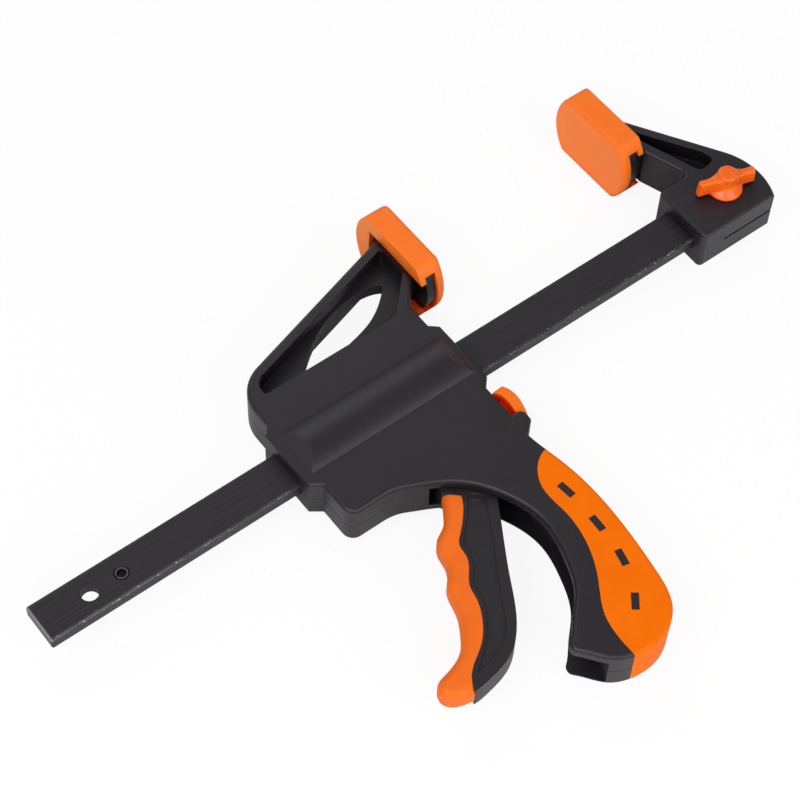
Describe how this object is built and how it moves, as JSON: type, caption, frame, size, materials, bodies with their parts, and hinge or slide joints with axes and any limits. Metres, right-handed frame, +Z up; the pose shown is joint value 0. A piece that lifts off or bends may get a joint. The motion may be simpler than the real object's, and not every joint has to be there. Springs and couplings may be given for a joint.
{
  "type": "quick release bar clamp",
  "caption": "One-handed ratchet bar clamp: squeeze trigger, release button, sliding jaw body with handle, fixed jaw with wing screw, and soft slip-on jaw caps on a flat bar.",
  "frame": {"origin": "centre of the bar's free end face, on the bar's centreline and at mid thickness", "axes": "+X along the bar towards the fixed jaw, +Y from the bar towards the jaw caps, +Z up through the clamp's thickness, out of the side with the wing screw"},
  "size_m": [0.3184, 0.1996, 0.0334],
  "materials": {
    "black_steel": "satin",
    "plain_steel": "satin",
    "charcoal_plastic": "satin",
    "orange_rubber": "satin",
    "orange_plastic": "satin"
  },
  "bodies": {
    "bar_group": {"bar": "black_steel", "stop_pin": "black_steel", "fixed_jaw": "charcoal_plastic", "fixed_jaw_cap": "orange_rubber", "jaw_nut": "plain_steel"},
    "washer": {"screw_washer": "plain_steel"},
    "wing_screw": {"wing_knob": "orange_plastic", "wing_stud": "plain_steel"},
    "moving_jaw": {"upper_shell": "charcoal_plastic", "lower_shell": "charcoal_plastic", "moving_jaw_cap": "orange_rubber", "upper_grip": "orange_rubber", "lower_grip": "orange_rubber", "shell_screw_1": "plain_steel", "shell_screw_2": "plain_steel", "shell_screw_3": "plain_steel", "shell_screw_4": "plain_steel", "shell_screw_5": "plain_steel", "shell_screw_6": "plain_steel", "trigger_pin": "plain_steel", "drive_spring": "plain_steel", "lock_spring": "plain_steel"},
    "trigger": {"trigger_core": "charcoal_plastic", "trigger_grip": "orange_rubber"},
    "drive_plates": {"drive_plate_1": "plain_steel", "drive_plate_2": "plain_steel"},
    "release": {"lock_plate": "plain_steel", "release_button": "orange_plastic"}
  },
  "joints": [
    {"name": "jaw_slide", "type": "slide", "parent": "bar_group", "child": "moving_jaw", "axis": [1, 0, 0], "range_m": [-0.065, 0.085]},
    {"name": "trigger_squeeze", "type": "hinge", "parent": "moving_jaw", "child": "trigger", "pos_m": [0.146, -0.024, 0], "axis": [0, 0, 1], "range_deg": [0, 20], "stiffness_Nm_per_rad": 0.6, "springref_deg": -9.74},
    {"name": "drive_feed", "type": "slide", "parent": "moving_jaw", "child": "drive_plates", "axis": [1, 0, 0], "range_m": [-0.0038, 0], "deforming": ["drive_spring"]},
    {"name": "release_press", "type": "hinge", "parent": "moving_jaw", "child": "release", "pos_m": [0.1605, 0.015, 0], "axis": [0, 0, 1], "range_deg": [-5, 0], "stiffness_Nm_per_rad": 0.5, "springref_deg": 5.73, "deforming": ["lock_spring"]},
    {"name": "wing_lift", "type": "slide", "parent": "bar_group", "child": "washer", "axis": [0, 0, 1], "range_m": [0, 0.0016]},
    {"name": "wing_turn", "type": "hinge", "parent": "washer", "child": "wing_screw", "pos_m": [0.302, 0, 0], "axis": [0, 0, 1], "range_deg": [0, 720]}
  ],
  "couplings": [
    {"joint": "drive_feed", "follows": "trigger_squeeze", "m_per_rad": -0.01049},
    {"joint": "wing_turn", "follows": "wing_lift", "rad_per_m": 7854}
  ]
}
